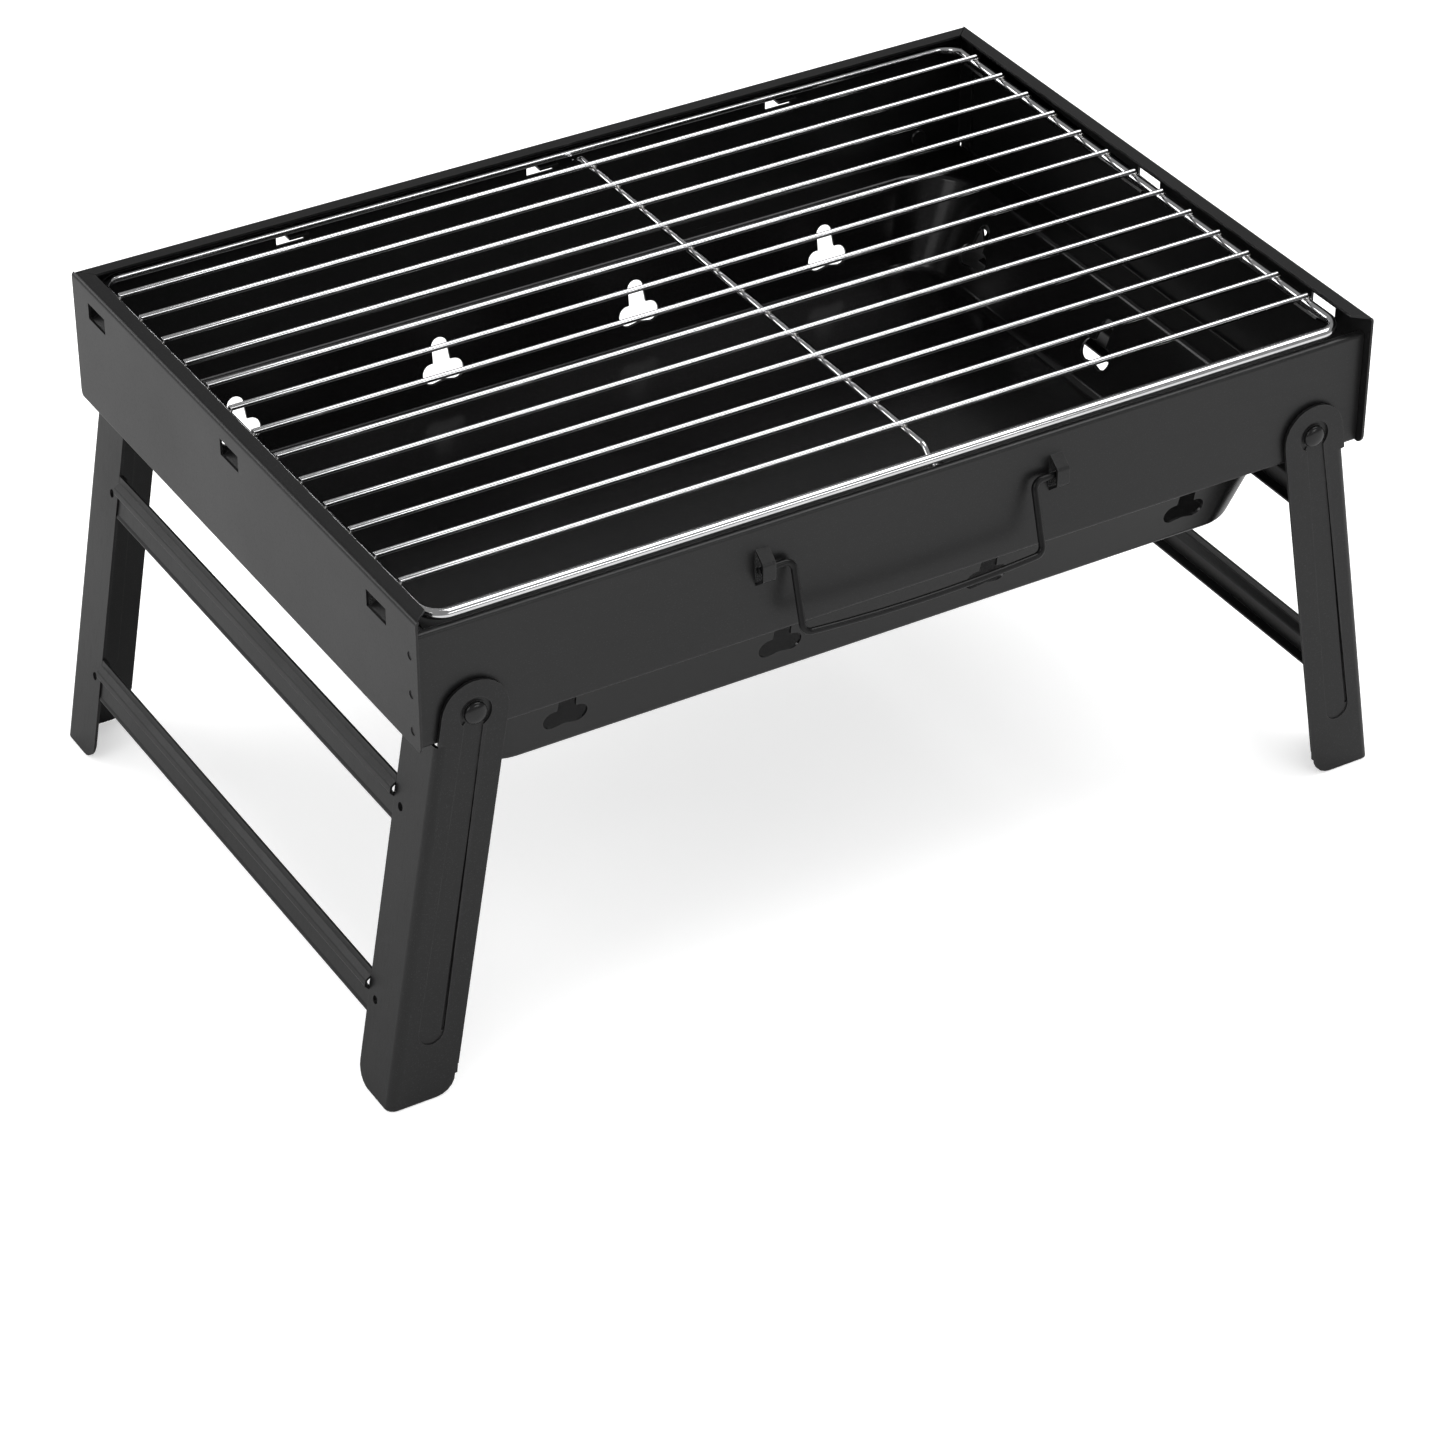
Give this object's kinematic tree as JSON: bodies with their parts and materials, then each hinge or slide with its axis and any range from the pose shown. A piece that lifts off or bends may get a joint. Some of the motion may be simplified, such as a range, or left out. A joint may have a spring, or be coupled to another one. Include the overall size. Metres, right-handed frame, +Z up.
{
  "type": "folding camp grill",
  "caption": "Table-top charcoal grill for camping: bent sheet-steel case, deep vented charcoal pan, wire grate, two fold-under leg frames and a wire carrying handle.",
  "frame": {"origin": "on the ground under the middle of the case: midway between its two end walls, and midway between the outermost edges of its end walls front to back", "axes": "+X along the case from the left end to the right end as seen from the front, +Y from the front (the side with the handle) to the back, +Z up; the feet stand on Z = 0"},
  "size_m": [0.447, 0.2969, 0.211],
  "materials": {
    "black_powder_coat": "semi-gloss black powder coat",
    "black_leg_paint": "satin black paint",
    "pan_enamel": "satin black enamel",
    "grate_chrome": "bright plated wire",
    "handle_black": "satin black wire",
    "rivet_black": "blackened rivet steel"
  },
  "bodies": {
    "case": {"case_front_wall": "black_powder_coat", "case_back_wall": "black_powder_coat", "case_left_wall": "black_powder_coat", "case_right_wall": "black_powder_coat", "left_front_rivet": "rivet_black", "left_back_rivet": "rivet_black", "right_front_rivet": "rivet_black", "right_back_rivet": "rivet_black"},
    "pan": {"charcoal_pan": "pan_enamel"},
    "grate": {"grate_frame_wire": "grate_chrome", "grate_cross_wire": "grate_chrome", "grate_rod_01": "grate_chrome", "grate_rod_02": "grate_chrome", "grate_rod_03": "grate_chrome", "grate_rod_04": "grate_chrome", "grate_rod_05": "grate_chrome", "grate_rod_06": "grate_chrome", "grate_rod_07": "grate_chrome", "grate_rod_08": "grate_chrome", "grate_rod_09": "grate_chrome", "grate_rod_10": "grate_chrome", "grate_rod_11": "grate_chrome", "grate_rod_12": "grate_chrome", "grate_rod_13": "grate_chrome"},
    "left_legs": {"left_front_leg": "black_leg_paint", "left_back_leg": "black_leg_paint", "left_upper_crossbar": "black_leg_paint", "left_lower_crossbar": "black_leg_paint"},
    "right_legs": {"right_front_leg": "black_leg_paint", "right_back_leg": "black_leg_paint", "right_upper_crossbar": "black_leg_paint", "right_lower_crossbar": "black_leg_paint"},
    "handle": {"carry_handle": "handle_black"}
  },
  "joints": [
    {"name": "left_leg_fold", "type": "hinge", "parent": "case", "child": "left_legs", "pos_m": [-0.182, 0, 0.1645], "axis": [0, -1, 0], "range_deg": [0, 99.6]},
    {"name": "right_leg_fold", "type": "hinge", "parent": "case", "child": "right_legs", "pos_m": [0.182, 0, 0.1645], "axis": [0, 1, 0], "range_deg": [0, 99.6]},
    {"name": "pan_lift", "type": "slide", "parent": "case", "child": "pan", "axis": [0, 0, 1], "range_m": [0, 0.038]},
    {"name": "grate_lift", "type": "hinge", "parent": "case", "child": "grate", "pos_m": [0, 0.1386, 0.205], "axis": [-1, 0, 0], "range_deg": [0, 30]},
    {"name": "handle_swing", "type": "hinge", "parent": "case", "child": "handle", "pos_m": [0, -0.1409, 0.1858], "axis": [-1, 0, 0], "range_deg": [0, 160]}
  ],
  "couplings": [
    {"joint": "right_leg_fold", "follows": "left_leg_fold", "ratio": 1},
    {"joint": "pan_lift", "follows": "left_leg_fold", "m_per_rad": 0.02185}
  ]
}
